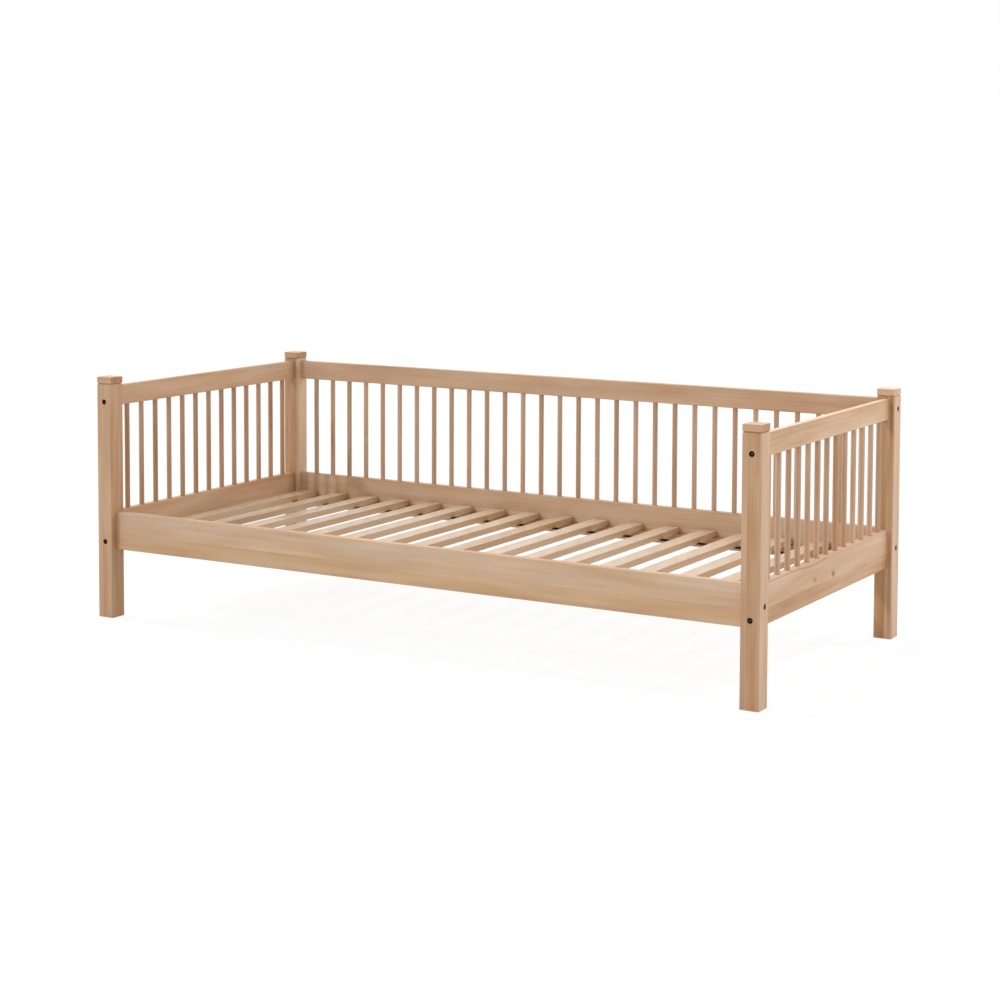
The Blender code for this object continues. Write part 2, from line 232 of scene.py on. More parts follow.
# %% The wood material
# Real rings are 2 to 3 mm apart and real fibres far thinner. They are drawn a few times coarser
# here, because one pixel of the picture covers nearly 3 mm of the bed. A wave texture of scale 1
# repeats after one wave length, in metres.
METRE = 1000.0
WAVE_LENGTH = 2 * math.pi / 20
RING_MM = 8.0
WANDER_MM = 16.0
PATTERN_MM = {
    "wander": (700, 120, 120),
    "tint": (260, 30, 30),
    "cloud": (380, 45, 45),
    "streak": (240, 7, 7),
    "fibre": (90, 2.2, 2.2),
    "fleck": (13, 2.0, 2.0),
}
SHARE = {"ring": 0.04, "cloud": 0.60, "streak": 0.09, "fibre": 0.08}
SHADE_PLACES = (0.0, 0.3, 0.5, 0.75, 1.0)
NOISE = {"Scale": 1, "Detail": 2, "Roughness": 0.55}
TINT_SHARE = 2.2
FLECK_RANGE = (0.60, 0.72)
FLECK_SHARE = 0.25
PORE_DEPTH = 0.0006
SHEEN_RANGE = (0.3, 0.7)
SHEEN_SPREAD = 0.06


def beech(name, shades, glow, fleck, roughness, relief):
    """Beech in the given shades, dark to pale, with a warm glow, flecks, a sheen and pores in relief."""
    material = bpy.data.materials.new(name)
    material.use_nodes = True
    tree = material.node_tree
    shader = tree.nodes["Principled BSDF"]
    grain = add(tree, "ShaderNodeAttribute", attribute_name="grain").outputs["Vector"]
    strip = add(tree, "ShaderNodeAttribute", attribute_name="strip").outputs["Vector"]
    strip = add(tree, "ShaderNodeSeparateXYZ", {}, {0: strip}).outputs
    pattern = {}
    for kind, sizes in PATTERN_MM.items():
        scaled = add(tree, "ShaderNodeVectorMath", {1: [METRE / size for size in sizes]}, {0: grain},
                     operation="MULTIPLY")
        pattern[kind] = add(tree, "ShaderNodeTexNoise", NOISE, {"Vector": scaled.outputs[0]}).outputs
    sway = WANDER_MM / METRE
    bent = add(tree, "ShaderNodeVectorMath", {1: (0, sway, sway)},
               {0: pattern["wander"]["Color"], 2: grain}, operation="MULTIPLY_ADD")
    ring = add(tree, "ShaderNodeTexWave", {"Scale": WAVE_LENGTH * METRE / RING_MM},
               {"Vector": bent.outputs[0]}, wave_type="RINGS", rings_direction="X")
    pattern["ring"] = ring.outputs
    shade = strip["X"]
    for kind, share in SHARE.items():
        shade = add(tree, "ShaderNodeMath", {1: share}, {0: pattern[kind]["Fac"], 2: shade},
                    operation="MULTIPLY_ADD").outputs[0]
    shade = add(tree, "ShaderNodeMath", {1: sum(SHARE.values()) / 2}, {0: shade},
                operation="SUBTRACT").outputs[0]
    ramp = add(tree, "ShaderNodeValToRGB", {}, {0: shade})
    stops = ramp.color_ramp.elements
    while len(stops) < len(shades):
        stops.new(0.5)
    for stop, place, text in zip(stops, SHADE_PLACES, shades):
        stop.position = place
        stop.color = linear(text)
    tint = add(tree, "ShaderNodeMath", {1: TINT_SHARE}, {0: pattern["tint"]["Fac"], 2: strip["Y"]},
               operation="MULTIPLY_ADD").outputs[0]
    tint = add(tree, "ShaderNodeMath", {1: TINT_SHARE / 2}, {0: tint}, operation="SUBTRACT",
               use_clamp=True).outputs[0]
    warm = add(tree, "ShaderNodeMix", {7: linear(glow)}, {0: tint, 6: ramp.outputs[0]},
               data_type="RGBA", blend_type="MULTIPLY").outputs[2]
    dash = {1: FLECK_RANGE[0], 2: FLECK_RANGE[1], 3: 0.0, 4: FLECK_SHARE}
    dash = add(tree, "ShaderNodeMapRange", dash, {0: pattern["fleck"]["Fac"]}).outputs[0]
    colour = add(tree, "ShaderNodeMix", {7: linear(fleck)}, {0: dash, 6: warm},
                 data_type="RGBA").outputs[2]
    tree.links.new(colour, shader.inputs["Base Color"])
    shader.inputs["Roughness"].default_value = roughness
    if relief:
        pores = add(tree, "ShaderNodeBump", {"Strength": relief, "Distance": PORE_DEPTH},
                    {"Height": pattern["fibre"]["Fac"]})
        tree.links.new(pores.outputs[0], shader.inputs["Normal"])
        sheen = {1: SHEEN_RANGE[0], 2: SHEEN_RANGE[1],
                 3: roughness + SHEEN_SPREAD, 4: roughness - SHEEN_SPREAD}
        sheen = add(tree, "ShaderNodeMapRange", sheen, {0: pattern["streak"]["Fac"]}).outputs[0]
        tree.links.new(sheen, shader.inputs["Roughness"])
    return material


# %% Beech in three finishes
# Boards are sanded and oiled: satin, with a pinkish tan body and a redder dark end. Spindles come off
# the lathe in the same wood, a little greyer. Slats are planed smooth and paler, with more sheen, and
# their pale shades are greyer. Their tops are painted paler and cooler still, as painted sheen. Their
# glow is stronger, because it tints only their narrow edges and undersides.
BOARD_SHADES = ("#7A4D32", "#B1855F", "#C8A689", "#D9BEA5", "#E6D2BE")
SPINDLE_SHADES = ("#6E4A34", "#A98564", "#C0A086", "#D2B8A0", "#E2CDB8")
SLAT_SHADES = ("#805C3E", "#A98A6C", "#BBA388", "#C9B49C", "#D8C8B6")
GLOW, SLAT_GLOW = "#FFF4DC", "#FFE8C8"
FLECK, SLAT_FLECK = "#9C7050", "#A88460"
OILED, TURNED, PLANED = 0.46, 0.52, 0.30
PORES = 0.25

oiled_beech = beech("oiled beech", BOARD_SHADES, GLOW, FLECK, OILED, PORES)
turned_beech = beech("turned beech", SPINDLE_SHADES, GLOW, FLECK, TURNED, 0)
planed_beech = beech("planed beech", SLAT_SHADES, SLAT_GLOW, SLAT_FLECK, PLANED, 0)
print("beech:", len(oiled_beech.node_tree.nodes), "nodes, with rings drawn", RING_MM, "mm apart")

# %% A board with knots
# The lower rail of the right end shows two small knots. A knot is a cut branch, so it runs straight
# through the board. Each has its place along and up the board, half its length and height, and its
# depth of tone. Its outline wobbles by a few millimetres.
KNOTS = ((0.0325, 0.2525, 0.016, 0.012, 0.9), (-0.0957, 0.2584, 0.020, 0.010, 0.5))
KNOT_COLOUR = linear("#80401C")
KNOT_CORE = 0.2
WOBBLE_MM = 12.0
WOBBLE = 0.004

knotty_beech = beech("knotty oiled beech", BOARD_SHADES, GLOW, FLECK, OILED, PORES)
tree = knotty_beech.node_tree
shader = tree.nodes["Principled BSDF"]
colour = shader.inputs["Base Color"].links[0].from_socket
place = add(tree, "ShaderNodeTexCoord").outputs["Object"]
wobble = add(tree, "ShaderNodeTexNoise", {"Scale": METRE / WOBBLE_MM}, {"Vector": place})
place = add(tree, "ShaderNodeVectorMath", {1: (WOBBLE, WOBBLE, WOBBLE)},
            {0: wobble.outputs["Color"], 2: place}, operation="MULTIPLY_ADD").outputs[0]
for y, z, length, height, depth in KNOTS:
    centre = (0, y + WOBBLE / 2, z + WOBBLE / 2)
    from_knot = add(tree, "ShaderNodeVectorMath", {1: centre}, {0: place},
                    operation="SUBTRACT").outputs[0]
    from_knot = add(tree, "ShaderNodeVectorMath", {1: (0, 1 / length, 1 / height)}, {0: from_knot},
                    operation="MULTIPLY").outputs[0]
    from_knot = add(tree, "ShaderNodeVectorMath", {}, {0: from_knot}, operation="LENGTH")
    inside = add(tree, "ShaderNodeMapRange", {1: KNOT_CORE, 2: 1.0, 3: depth, 4: 0.0},
                 {0: from_knot.outputs["Value"]}).outputs[0]
    colour = add(tree, "ShaderNodeMix", {7: KNOT_COLOUR}, {0: inside, 6: colour},
                 data_type="RGBA").outputs[2]
print(knotty_beech.name, "has", len(KNOTS), "knots")

# %% A dark growth line
# The same board has one dark growth line. It runs close under the top edge, dips once in a shallow
# curve and fades out at the middle of the board. Its edges are soft over a millimetre or two.
LINE_HEIGHT = 0.3045
LINE_DIP = 0.298
DIP_PLACE = -0.105
DIP_BEND = 0.75
LINE_EDGE = (0.0008, 0.0022)
LINE_DEPTH = 0.5
LINE_STOP = 0.005
LINE_FADE = 0.03

axes = add(tree, "ShaderNodeSeparateXYZ", {}, {0: place}).outputs
line = add(tree, "ShaderNodeMath", {1: DIP_PLACE}, {0: axes["Y"]}, operation="SUBTRACT").outputs[0]
line = add(tree, "ShaderNodeMath", {}, {0: line, 1: line}, operation="MULTIPLY").outputs[0]
line = add(tree, "ShaderNodeMath", {1: DIP_BEND, 2: LINE_DIP + WOBBLE / 2}, {0: line},
           operation="MULTIPLY_ADD").outputs[0]
line = add(tree, "ShaderNodeMath", {1: LINE_HEIGHT + WOBBLE / 2}, {0: line},
           operation="MINIMUM").outputs[0]
near = add(tree, "ShaderNodeMath", {}, {0: axes["Z"], 1: line}, operation="SUBTRACT").outputs[0]
near = add(tree, "ShaderNodeMath", {}, {0: near}, operation="ABSOLUTE").outputs[0]
near = add(tree, "ShaderNodeMapRange", {1: LINE_EDGE[0], 2: LINE_EDGE[1], 3: LINE_DEPTH, 4: 0.0},
           {0: near}).outputs[0]
stop = add(tree, "ShaderNodeMapRange", {1: LINE_STOP - LINE_FADE, 2: LINE_STOP, 3: 1.0, 4: 0.0},
           {0: axes["Y"]}).outputs[0]
near = add(tree, "ShaderNodeMath", {}, {0: near, 1: stop}, operation="MULTIPLY").outputs[0]
colour = add(tree, "ShaderNodeMix", {7: KNOT_COLOUR}, {0: near, 6: colour}, data_type="RGBA").outputs[2]
tree.links.new(colour, shader.inputs["Base Color"])
print("growth line", LINE_HEIGHT, "m above the floor, dipping to", LINE_DIP, "m")

# %% [markdown]
# ## Metal and webbing
# The bolts are steel blackened in a hot bath, nearly black with a dull shine. The key has rubbed some of
# that skin off inside the socket, where an attribute of the mesh lets a lighter bare steel show. That
# lighter socket is partly wear and partly a painted glint. The straps are woven polypropylene, black,
# with ribs across.

# %% Blackened steel
SKIN_MM = 4.0
# The bare steel is partly real wear in the socket and partly a painted glint.
SKIN_DARK, SKIN_PALE, BARE_STEEL_GLINT = linear("#180F08"), linear("#2E2116"), linear("#70665E")
SKIN_ROUGHNESS = 0.42

black_steel = bpy.data.materials.new("blackened steel")
black_steel.use_nodes = True
tree = black_steel.node_tree
shader = tree.nodes["Principled BSDF"]
place = add(tree, "ShaderNodeTexCoord").outputs["Object"]
skin = add(tree, "ShaderNodeTexNoise", {"Scale": METRE / SKIN_MM, "Detail": 3}, {"Vector": place})
colour = add(tree, "ShaderNodeMix", {6: SKIN_DARK, 7: SKIN_PALE}, {0: skin.outputs["Fac"]},
             data_type="RGBA").outputs[2]
wear_and_glint = add(tree, "ShaderNodeAttribute", attribute_name="wear_and_glint").outputs["Fac"]
colour = add(tree, "ShaderNodeMix", {7: BARE_STEEL_GLINT}, {0: wear_and_glint, 6: colour}, data_type="RGBA").outputs[2]
tree.links.new(colour, shader.inputs["Base Color"])
shader.inputs["Metallic"].default_value = 1
shader.inputs["Roughness"].default_value = SKIN_ROUGHNESS
print("steel skin varies over", SKIN_MM, "mm")

# %% Webbing
# Real ribs are about 1 mm apart. They are drawn coarser, so that they show in a close view.
RIB_MM = 2.4
THREAD_DEPTH = 0.0004
THREAD_RELIEF = 0.5
THREAD_DARK, THREAD_PALE = linear("#0E0906"), linear("#201913")
WEAVE_ROUGHNESS, WEAVE_SHINE = 0.9, 0.15

webbing = bpy.data.materials.new("woven polypropylene")
webbing.use_nodes = True
tree = webbing.node_tree
shader = tree.nodes["Principled BSDF"]
place = add(tree, "ShaderNodeTexCoord").outputs["Object"]
rib_scale = WAVE_LENGTH * METRE / RIB_MM
weft = add(tree, "ShaderNodeTexWave", {"Scale": rib_scale}, {"Vector": place}, bands_direction="X")
warp = add(tree, "ShaderNodeTexWave", {"Scale": rib_scale}, {"Vector": place}, bands_direction="Y")
weave = add(tree, "ShaderNodeMath", {}, {0: weft.outputs["Fac"], 1: warp.outputs["Fac"]},
            operation="MULTIPLY").outputs[0]
colour = add(tree, "ShaderNodeMix", {6: THREAD_DARK, 7: THREAD_PALE}, {0: weave},
             data_type="RGBA").outputs[2]
tree.links.new(colour, shader.inputs["Base Color"])
shader.inputs["Roughness"].default_value = WEAVE_ROUGHNESS
shader.inputs["Specular IOR Level"].default_value = WEAVE_SHINE
threads = add(tree, "ShaderNodeBump", {"Strength": THREAD_RELIEF, "Distance": THREAD_DEPTH},
              {"Height": weave})
tree.links.new(threads.outputs[0], shader.inputs["Normal"])
print("webbing ribs drawn", RIB_MM, "mm apart")

# %% [markdown]
# ## Tools of the workshop
# A piece of furniture starts as a sawn block. Its edges are then eased, holes are drilled and the
# grain is laid in. The next helpers do that with the same operators that a hand would use in edit
# mode. Edges and faces are picked in code, by where they lie and which way they run or look.

# %% Sawing and picking
# An edge runs along an axis, and a face looks along one, if the direction comes this close to it.
X, Y, Z = range(3)
UP = Vector((0, 0, 1))
MERGED = 0.00001
PARALLEL = 0.99
FACING = 0.9


def take(*pieces):
    """Select these pieces alone, with the first one active."""
    bpy.ops.object.select_all(action="DESELECT")
    for piece in pieces:
        piece.select_set(True)
    bpy.context.view_layer.objects.active = pieces[0]


def saw_block(name, low, high):
    """A block between two corners, with its place in the mesh."""
    bpy.ops.object.select_all(action="DESELECT")
    low, high = Vector(low), Vector(high)
    bpy.ops.mesh.primitive_cube_add(size=1, location=(low + high) / 2, scale=high - low)
    bpy.ops.object.transform_apply(location=True, rotation=True, scale=True)
    bpy.context.object.name = name
    return bpy.context.object


def along(axis):
    """A test for edges that run along an axis."""
    return lambda a, b: abs((b - a).normalized()[axis]) > PARALLEL


def lies_at(axis, value):
    """A test for edges that lie in a plane across an axis."""
    return lambda a, b: max(abs(a[axis] - value), abs(b[axis] - value)) < MERGED


def pick_edges(piece, chosen):
    """Open a piece in edit mode with only the chosen edges selected."""
    take(piece)
    bpy.ops.object.mode_set(mode="EDIT")
    bpy.ops.mesh.select_mode(type="EDGE")
    bpy.ops.mesh.select_all(action="DESELECT")
    shape = bmesh.from_edit_mesh(piece.data)
    for edge in shape.edges:
        edge.select_set(chosen(edge.verts[0].co, edge.verts[1].co))
    bmesh.update_edit_mesh(piece.data)


def pick_faces(piece, chosen):
    """Open a piece in edit mode with only the chosen faces selected."""
    pick_edges(piece, lambda a, b: False)
    bpy.ops.mesh.select_mode(type="FACE")
    shape = bmesh.from_edit_mesh(piece.data)
    for face in shape.faces:
        if chosen(face):
            face.select_set(True)
    bmesh.update_edit_mesh(piece.data)


print("sawing and picking are ready")

# %% Easing and cutting
# The steps across an edge make it a flat chamfer or a finer and finer round.
CHAMFERED, BROKEN, EASED, ROUNDED = 1, 2, 3, 4


def ease(piece, width, steps, chosen):
    """Round the chosen edges, or chamfer them in one step, and merge the points that then meet."""
    pick_edges(piece, chosen)
    bpy.ops.mesh.bevel(offset=width, segments=steps, profile=0.5, affect="EDGES", clamp_overlap=True)
    bpy.ops.mesh.select_all(action="SELECT")
    bpy.ops.mesh.remove_doubles(threshold=MERGED)
    bpy.ops.object.mode_set(mode="OBJECT")


def cut_round(piece, axis, value):
    """Cut a line round a piece, such as where two strips of a board are glued together."""
    pick_edges(piece, lambda a, b: True)
    bpy.ops.mesh.select_all(action="SELECT")
    spot = Vector((0, 0, 0))
    spot[axis] = value
    across = Vector((0, 0, 0))
    across[axis] = 1
    bpy.ops.mesh.bisect(plane_co=spot, plane_no=across)
    bpy.ops.object.mode_set(mode="OBJECT")


print("an edge is rounded in", ROUNDED, "steps at most")

# %% Drilling
ROUND = 32


def rod(start, end, diameter, sides=ROUND):
    """A rod between two points, as a drill or a dowel."""
    run = end - start
    bpy.ops.mesh.primitive_cylinder_add(vertices=sides, radius=diameter / 2, depth=run.length,
                                        location=(start + end) / 2,
                                        rotation=run.to_track_quat("Z", "Y").to_euler())
    return bpy.context.object


def work(piece, rods, operation):
    """Drill the rods out of a piece, or glue them on to it."""
    take(*rods)
    bpy.ops.object.join()
    modifier = piece.modifiers.new("work", "BOOLEAN")
    modifier.operation = operation
    modifier.object = rods[0]
    take(piece)
    bpy.ops.object.modifier_apply(modifier=modifier.name)
    bpy.data.objects.remove(rods[0], do_unlink=True)


print("drilling is ready, with", ROUND, "sides to a round hole")

# %% Grain and finish
# The strips of a board come from different trees. Each gets its own place in the trunk, a tone and a
# warmth. Cut ends drink more oil and turn darker. The narrow edges and the faces that look down may take
# another tone and warmth. On the rails that is painted shade. On the slats it leaves the tops paler, as
# a painted sheen.
# Smooth shading with weighted normals lets an eased edge run softly into a face that stays flat.
dice = random.Random(11)
END_GRAIN = 0.16
TRUNK = 40.0
HEART_NEAR, HEART_FAR = 0.03, 0.10
SMOOTH_ANGLE = math.radians(35)
FLAT_WEIGHT = 100


def lay_grain(piece, order, strips, cuts=(), cut_axis=Z, edge=(0.0, 0.0), under=(0.0, 0.0)):
    """Write the place in the tree and the tone of each strip into the corners of the faces.

    The order names the axes that run along the trunk, across it and out from its heart. The faces
    across the trunk are the narrow edges of a board, which may have another tone and warmth, as
    may the faces that look down.
    """
    places = []
    for _ in strips:
        side = dice.choice((-1, 1))
        places.append(Vector((dice.uniform(0, TRUNK), dice.uniform(-HEART_FAR, HEART_FAR),
                              side * dice.uniform(HEART_NEAR, HEART_FAR))))
    mesh = piece.data
    grain = mesh.attributes.new("grain", "FLOAT_VECTOR", "CORNER")
    strip = mesh.attributes.new("strip", "FLOAT_VECTOR", "CORNER")
    for face in mesh.polygons:
        number = sum(face.center[cut_axis] > cut for cut in cuts)
        tone, warmth = strips[number]
        if abs(face.normal[order[0]]) > FACING:
            tone -= END_GRAIN
        if abs(face.normal[order[1]]) > FACING:
            tone, warmth = tone + edge[0], warmth + edge[1]
        if face.normal.z < -FACING:
            tone, warmth = tone + under[0], warmth + under[1]
        for corner in face.loop_indices:
            spot = mesh.vertices[mesh.loops[corner].vertex_index].co
            grain.data[corner].vector = places[number] + Vector([spot[i] for i in order])
            strip.data[corner].vector = (tone, warmth, 0)


def hand_over(piece, material, body, slot, *nodes):
    """Shade a piece, give it its finish and hang it on the body that it moves with."""
    take(piece)
    bpy.ops.object.shade_smooth_by_angle(angle=SMOOTH_ANGLE)
    modifier = piece.modifiers.new("flat faces", "WEIGHTED_NORMAL")
    modifier.keep_sharp = True
    modifier.weight = FLAT_WEIGHT
    bpy.ops.object.modifier_apply(modifier=modifier.name)
    piece.data.materials.clear()
    piece.data.materials.append(material)
    piece.data.name = piece.name
    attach(piece, body)
    if nodes:
        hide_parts(*nodes)


def copy_of(piece, name, place):
    """A copy with a mesh of its own, moved to its place."""
    twin = piece.copy()
    twin.data = piece.data.copy()
    twin.name = name
    bpy.context.scene.collection.objects.link(twin)
    twin.data.transform(place)
    return twin


def joined(pieces):
    """Join small fasteners to one piece."""
    take(*pieces)
    bpy.ops.object.join()
    return pieces[0]


print("grain is laid over", TRUNK, "m of trunk")

# %% [markdown]
# ## Where the bolts run
# Each rail meets a post end on. A bolt runs through the post into a threaded sleeve in the end of
# the rail, and a dowel above it keeps the rail from turning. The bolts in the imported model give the
# line of every joint, and the heights of the dowels follow from them.

# %% Joints
POST_SIDE = 0.052
SEAT = 0.0003
DOWEL_ABOVE_BOLT = {
    "end_lower_rail": 0.067,
    "end_top_rail": 0.024,
    "front_rail": 0.025,
    "back_lower_rail": 0.025,
    "back_top_rail": 0.0175,
}

joints = {}
for name in sorted(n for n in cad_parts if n.startswith("bolt_")):
    low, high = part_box(name)
    middle = (low + high) / 2
    axis = X if high.x - low.x > high.y - low.y else Y
    outward = Vector((0, 0, 0))
    outward[axis] = math.copysign(1, middle[axis])
    face = middle.copy()
    face[axis] = outward[axis] * cad_high[axis]
    kind = next(rail for rail in DOWEL_ABOVE_BOLT if name.endswith(rail))
    _, depth, side, *_ = name.split("_")
    rail = kind if axis == X else f"{side}_{kind}"
    joints[name] = {"face": face, "outward": outward, "post": f"{depth}_{side}", "rail": rail,
                    "dowel": face + Vector((0, 0, DOWEL_ABOVE_BOLT[kind]))}
print(len(joints), "joints on", len({joint["rail"] for joint in joints.values()}), "rails")

# %% [markdown]
# ## Posts
# Four square posts, planed on all sides with lightly rounded corners. The top edges are chamfered
# and make half of the dark groove under the cap. Bolt heads sit in counterbores. A post is sawn,
# eased and drilled; modelling the holes with a boolean gives them real walls.

# %% Four posts
# A bore is given by its diameter and its depth.
POST_ROUND = 0.002
POST_CHAMFER = 0.0025
FOOT_EASE = 0.001
PAST = 0.001
COUNTERBORE = (0.015, 0.005)
SHANK_BORE = 0.007
DOWEL_BORE = (0.0086, 0.0163)
SPIGOT_BORE = (0.0126, 0.0123)
RIM_EASE = 0.0004


def make_post(place):
    """Saw, ease and drill one post, and break the rims of its counterbores."""
    low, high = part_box(f"{place}_post")
    post = saw_block(f"post_{place}", low, high)
    ease(post, POST_ROUND, ROUNDED, along(Z))
    ease(post, POST_CHAMFER, CHAMFERED, lies_at(Z, high.z))
    ease(post, FOOT_EASE, BROKEN, lies_at(Z, low.z))
    meeting = [joint for joint in joints.values() if joint["post"] == place]
    wide, narrow = [], []
    for joint in meeting:
        face, out, peg = joint["face"], joint["outward"], joint["dowel"]
        wide.append(rod(face + out * PAST, face - out * COUNTERBORE[1], COUNTERBORE[0]))
        inside = peg - out * POST_SIDE
        wide.append(rod(inside - out * PAST, inside + out * DOWEL_BORE[1], DOWEL_BORE[0]))
        narrow.append(rod(face + out * PAST, face - out * (POST_SIDE + PAST), SHANK_BORE))
    top = Vector(((low.x + high.x) / 2, (low.y + high.y) / 2, high.z))
    wide.append(rod(top + UP * PAST, top - UP * SPIGOT_BORE[1], SPIGOT_BORE[0]))
    work(post, wide, "DIFFERENCE")
    work(post, narrow, "DIFFERENCE")
    reach = COUNTERBORE[0] / 2 + PAST
    for joint in meeting:
        face, axis = joint["face"], X if joint["outward"].x else Y
        on_face = lies_at(axis, face[axis])
        ease(post, RIM_EASE, BROKEN,
             lambda a, b: on_face(a, b) and max((a - face).length, (b - face).length) < reach)
    return post


# The strips of a post, each with a tone and a warmth, are glued side by side along the bed. After them
# come the places where they are glued. The darker middle strip of the back left post is painted shade,
# in the corner where the left end rails meet it.
POST_STRIPS = {
    "front_left": (((0.49, 0.5), (0.51, 0.5), (0.41, 0.5)), (-1.028, -0.998)),
    "front_right": (((0.49, 0.2), (0.40, 0.7), (0.50, 0.4)), (1.008, 1.040)),
    "back_left": (((0.40, 0.5), (0.33, 0.5), (0.67, 0.4)), (-1.021, -0.998)),
    "back_right": (((0.35, 0.8), (0.51, 0.7), (0.42, 0.7), (0.49, 0.3)), (1.024, 1.033, 1.041)),
}
for place, (strips, cuts) in POST_STRIPS.items():
    post = make_post(place)
    for cut in cuts:
        cut_round(post, X, cut)
    lay_grain(post, (Z, X, Y), strips, cuts, X)
    hand_over(post, oiled_beech, "frame", "beech", f"{place}_post")
    print(post.name, len(post.data.polygons), "faces")

# %% [markdown]
# ## Caps
# Each post ends in a separate square cap of the same width. Its lower edges are chamfered, so cap
# and post meet in a groove, and a round spigot under it drops into the post. The grain of a cap
# runs along the bed, so its front shows long fibres and its right side end grain.

# %% Four caps
CAP_CHAMFER = 0.003
CAP_EASE = 0.0012
CAP_HEIGHT = 0.020
SPIGOT = (0.012, 0.0117)
CAP_WARMTH = 0.3
CAP_TONE = {"front_left": 0.44, "front_right": 0.46, "back_left": 0.44, "back_right": 0.74}

for place, tone in CAP_TONE.items():
    low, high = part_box(f"{place}_cap")
    cap = saw_block(f"cap_{place}", (low.x, low.y, high.z - CAP_HEIGHT), high)
    ease(cap, CAP_CHAMFER, CHAMFERED, lies_at(Z, high.z - CAP_HEIGHT))
    ease(cap, CAP_EASE, EASED, lambda a, b: lies_at(Z, high.z)(a, b) or along(Z)(a, b))
    under = Vector(((low.x + high.x) / 2, (low.y + high.y) / 2, high.z - CAP_HEIGHT))
    work(cap, [rod(under + UP * PAST, under - UP * SPIGOT[1], SPIGOT[0])], "UNION")
    lay_grain(cap, (X, Y, Z), ((tone, CAP_WARMTH),))
    hand_over(cap, oiled_beech, "frame", "beech", f"{place}_cap")
    print(cap.name, len(cap.data.polygons), "faces")

# %% [markdown]
# ## Rails
# Seven rails are cut from 20 mm boards: four lower ones 110 mm high and three narrow top ones.
# Wide boards are glued up from strips, and the seam shows as a faint change of tone. Spindles
# stand in round sockets, drilled up into the top rails and down into the lower ones. All long edges
# are softened by 2 mm, which leaves just enough flat for the sockets.

# %% One rail
LOWER_HEIGHT = 0.110
RAIL_ROUND = 0.002
RAIL_END_EASE = 0.0006
SLEEVE_BORE = 0.0107
SLEEVE_END = 0.0786
DOWEL = 0.008
DOWEL_ROOT = 0.002
DOWEL_REACH = 0.016
SOCKET = (0.0156, 0.018)


def make_rail(name, node, axis, height, sockets, facing):
    """Saw, ease and drill one rail. The sockets open at its top or its underside."""
    low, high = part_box(node)
    reach = cad_high[axis] - POST_SIDE - SEAT
    low[axis], high[axis] = -reach, reach
    high.z = low.z + height
    rail = saw_block(name, low, high)
    ease(rail, RAIL_ROUND, ROUNDED, along(axis))
    for end in (-reach, reach):
        ease(rail, RAIL_END_EASE, BROKEN, lies_at(axis, end))
    pegs, bores = [], []
    for joint in [j for j in joints.values() if j["rail"] == name.removeprefix("rail_")]:
        out, peg = joint["outward"], joint["dowel"]
        pegs.append(rod(peg - out * (POST_SIDE + SEAT + DOWEL_ROOT),
                        peg - out * (POST_SIDE - DOWEL_REACH), DOWEL))
        bores.append(rod(joint["face"] - out * (POST_SIDE - PAST),
                         joint["face"] - out * SLEEVE_END, SLEEVE_BORE))
    brim = high.z if facing > 0 else low.z
    for x, y in sockets:
        spot = Vector((x, y, brim))
        bores.append(rod(spot + UP * facing * PAST, spot - UP * facing * SOCKET[1], SOCKET[0]))
    work(rail, pegs, "UNION")
    work(rail, bores, "DIFFERENCE")
    return rail


print("a lower rail is", LOWER_HEIGHT * METRE, "mm high")

# %% Rows of spindles
# Thirteen spindles stand in each end and thirty at the back, evenly spaced between the posts.
END_SPINDLES, BACK_SPINDLES = 13, 30
END_MARGIN, BACK_MARGIN = 0.049, 0.055
TOP_HEIGHT = 0.058


def spread(count, reach):
    """Evenly spaced places from one side of the middle to the other."""
    return [reach * (2 * i / (count - 1) - 1) for i in range(count)]


def line_of(node, axis):
    """The middle of a node along an axis."""
    low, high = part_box(node)
    return (low[axis] + high[axis]) / 2


ROWS = {}
for side in ("left", "right"):
    x = line_of(f"{side}_end_top_rail", X)
    ROWS[f"{side}_end"] = [(x, y) for y in spread(END_SPINDLES, cad_high.y - POST_SIDE - END_MARGIN)]
y = line_of("back_top_rail", Y)
ROWS["back"] = [(x, y) for x in spread(BACK_SPINDLES, cad_high.x - POST_SIDE - BACK_MARGIN)]
print({row: len(places) for row, places in ROWS.items()}, "spindles")

# %% Lower and top rails
# The narrow top and bottom edges of the rails are painted darker and less warm than their faces, as
# painted shade against the strong light from above. The top of the right end is painted pale instead, as
# a painted highlight where it mirrors the light. Each rail has the tone and warmth of its strips and the
# heights where they are glued. The lower strip of the back rail, below the slats, is painted a little
# lighter against their shadow.
RAIL_EDGE_PAINTED_SHADE = (-0.20, -0.6)
PAINTED_HIGHLIGHT_EDGE = (0.17, -0.6)
RAIL_STRIPS = {
    "left_end_lower_rail": (((0.52, 0.6), (0.55, 0.5)), (0.262,)),
    "right_end_lower_rail": (((0.39, 0.8), (0.52, 0.5)), (0.241,)),
    # The lower strip of the back rail, at and below the slats, is painted a little lighter: painted
    # light against their shadow.
    "back_lower_rail": (((0.68, 0.3), (0.65, 0.4)), (0.252,)),
    "front_rail": (((0.54, 0.8), (0.61, 0.4)), (0.246,)),
    "left_end_top_rail": (((0.55, 0.5),), ()),
    "right_end_top_rail": (((0.49, 0.5),), ()),
    "back_top_rail": (((0.54, 0.3),), ()),
}
